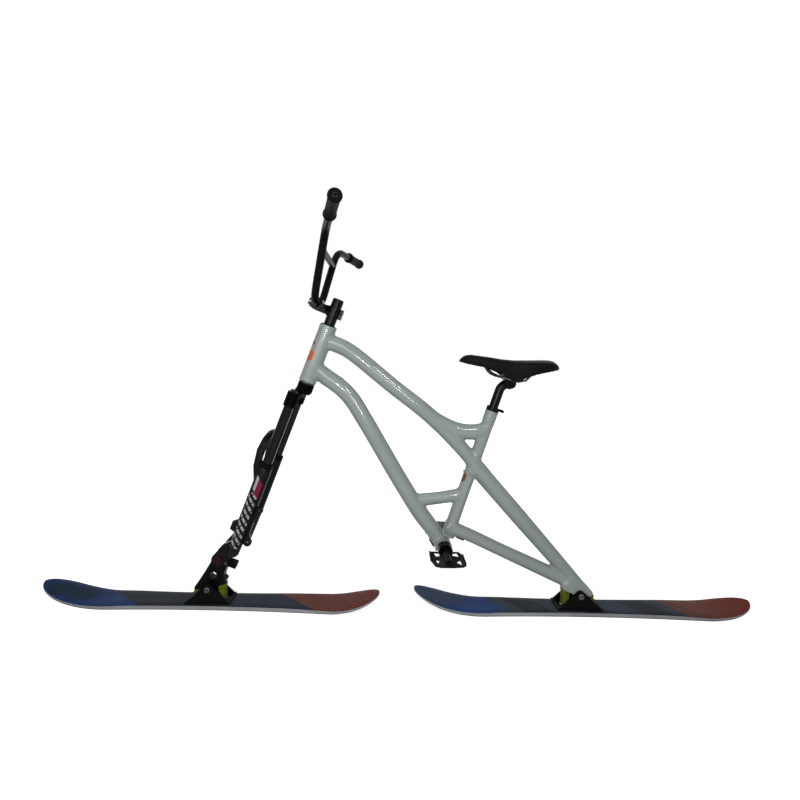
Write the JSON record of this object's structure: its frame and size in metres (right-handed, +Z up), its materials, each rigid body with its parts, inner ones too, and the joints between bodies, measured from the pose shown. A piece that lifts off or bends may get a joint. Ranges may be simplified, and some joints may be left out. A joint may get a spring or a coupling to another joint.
{
  "type": "ski bike",
  "caption": "Ski bike: a welded frame of branching tubes with a suspension fork, riser handlebar, saddle, foot pedals and a pivoting ski at each end.",
  "frame": {"origin": "the middle of the object's bounding box in plan, on the ground plane under the skis", "axes": "+X rearwards along the skis, +Y to the rider's right, +Z up"},
  "size_m": [2.044, 0.7406, 1.0834],
  "materials": {
    "frame_paint": "glossy light grey-green powder coat",
    "black_alloy": "satin black anodised alloy",
    "gloss_black": "gloss black paint",
    "bronze_tube": "dark bronze anodised tube",
    "steel": "bright zinc or stainless steel",
    "red_alloy": "red anodised alloy",
    "elastomer": "translucent yellow-green elastomer",
    "grip_rubber": "matt black rubber",
    "saddle_cover": "satin black stretched cover",
    "saddle_shell": "black moulded plastic",
    "rail_steel": "polished steel wire",
    "guide_plastic": "black moulded plastic",
    "ski_laminate": "gloss printed top sheet on a grey side wall"
  },
  "bodies": {
    "frame_body": {"frame": "frame_paint", "lower_head_bearing": "steel", "upper_head_bearing": "steel", "left_bearing_cup": "black_alloy", "right_bearing_cup": "black_alloy", "seat_collar": "black_alloy", "seat_collar_bolt": "steel", "down_tube_guide": "guide_plastic", "stay_guide": "guide_plastic", "foot_peg_axle": "black_alloy"},
    "steering_body": {"fork_crown": "black_alloy", "left_stanchion": "bronze_tube", "right_stanchion": "bronze_tube", "crown_race": "steel", "headset_cover": "black_alloy", "lower_spacer": "black_alloy", "upper_spacer": "black_alloy", "top_cap": "black_alloy", "stem": "black_alloy", "lower_stem_bolt": "steel", "upper_stem_bolt": "steel", "bar_clamp_bolt": "steel", "handlebar": "black_alloy", "left_grip": "grip_rubber", "right_grip": "grip_rubber", "left_bar_plug": "steel", "right_bar_plug": "steel"},
    "lowers_body": {"fork_lowers": "gloss_black", "left_fork_seal": "grip_rubber", "right_fork_seal": "grip_rubber", "through_axle": "red_alloy", "axle_nut": "steel", "front_ski_mount": "black_alloy", "mount_clamp_bolt": "steel"},
    "front_ski_body": {"front_ski": "ski_laminate", "front_bracket": "black_alloy", "front_pivot_bolt": "steel", "front_front_rubber": "elastomer", "front_rear_rubber": "elastomer", "front_front_screw": "steel", "front_rear_screw": "steel"},
    "rear_ski_body": {"rear_ski": "ski_laminate", "rear_bracket": "black_alloy", "rear_pivot_bolt": "steel", "rear_front_rubber": "elastomer", "rear_rear_rubber": "elastomer", "rear_front_screw": "steel", "rear_rear_screw": "steel"},
    "left_pedal": {"left_pedal_body": "black_alloy", "left_pedal_cage": "black_alloy"},
    "right_pedal": {"right_pedal_body": "black_alloy", "right_pedal_cage": "black_alloy"},
    "saddle_body": {"seat_post": "gloss_black", "saddle_clamp": "black_alloy", "saddle_clamp_bolt": "steel", "saddle_rails": "rail_steel", "saddle_cushion": "saddle_cover", "saddle_base": "saddle_shell"},
    "left_knob": {"left_fork_knob": "black_alloy"},
    "right_knob": {"right_fork_knob": "black_alloy"}
  },
  "joints": [
    {"name": "steering", "type": "hinge", "parent": "frame_body", "child": "steering_body", "pos_m": [-0.271, 0, 0.6495], "axis": [0.3404, 0, 0.9403], "range_deg": [-60, 60]},
    {"name": "fork_travel", "type": "slide", "parent": "steering_body", "child": "lowers_body", "axis": [0.3404, 0, 0.9403], "range_m": [0, 0.08], "stiffness_N_per_m": 6000, "springref_m": -0.02},
    {"name": "front_ski_pitch", "type": "hinge", "parent": "lowers_body", "child": "front_ski_body", "pos_m": [-0.54, 0, 0.054], "axis": [0, 1, 0], "range_deg": [-12, 12], "stiffness_Nm_per_rad": 60, "deforming": ["front_front_rubber", "front_rear_rubber"]},
    {"name": "rear_ski_pitch", "type": "hinge", "parent": "frame_body", "child": "rear_ski_body", "pos_m": [0.524, 0, 0.054], "axis": [0, 1, 0], "range_deg": [-12, 12], "stiffness_Nm_per_rad": 60, "deforming": ["rear_front_rubber", "rear_rear_rubber"]},
    {"name": "left_pedal_spin", "type": "hinge", "parent": "frame_body", "child": "left_pedal", "pos_m": [0.132, -0.12, 0.1905], "axis": [0, 1, 0], "continuous": true},
    {"name": "right_pedal_spin", "type": "hinge", "parent": "frame_body", "child": "right_pedal", "pos_m": [0.132, 0.12, 0.1905], "axis": [0, 1, 0], "continuous": true},
    {"name": "seat_post_height", "type": "slide", "parent": "frame_body", "child": "saddle_body", "axis": [0.319, 0, 0.9478], "range_m": [-0.035, 0.08]},
    {"name": "left_knob_turn", "type": "hinge", "parent": "steering_body", "child": "left_knob", "pos_m": [-0.28463, -0.058, 0.65444], "axis": [0.3404, 0, 0.9403], "continuous": true},
    {"name": "right_knob_turn", "type": "hinge", "parent": "steering_body", "child": "right_knob", "pos_m": [-0.28463, 0.058, 0.65444], "axis": [0.3404, 0, 0.9403], "continuous": true}
  ]
}
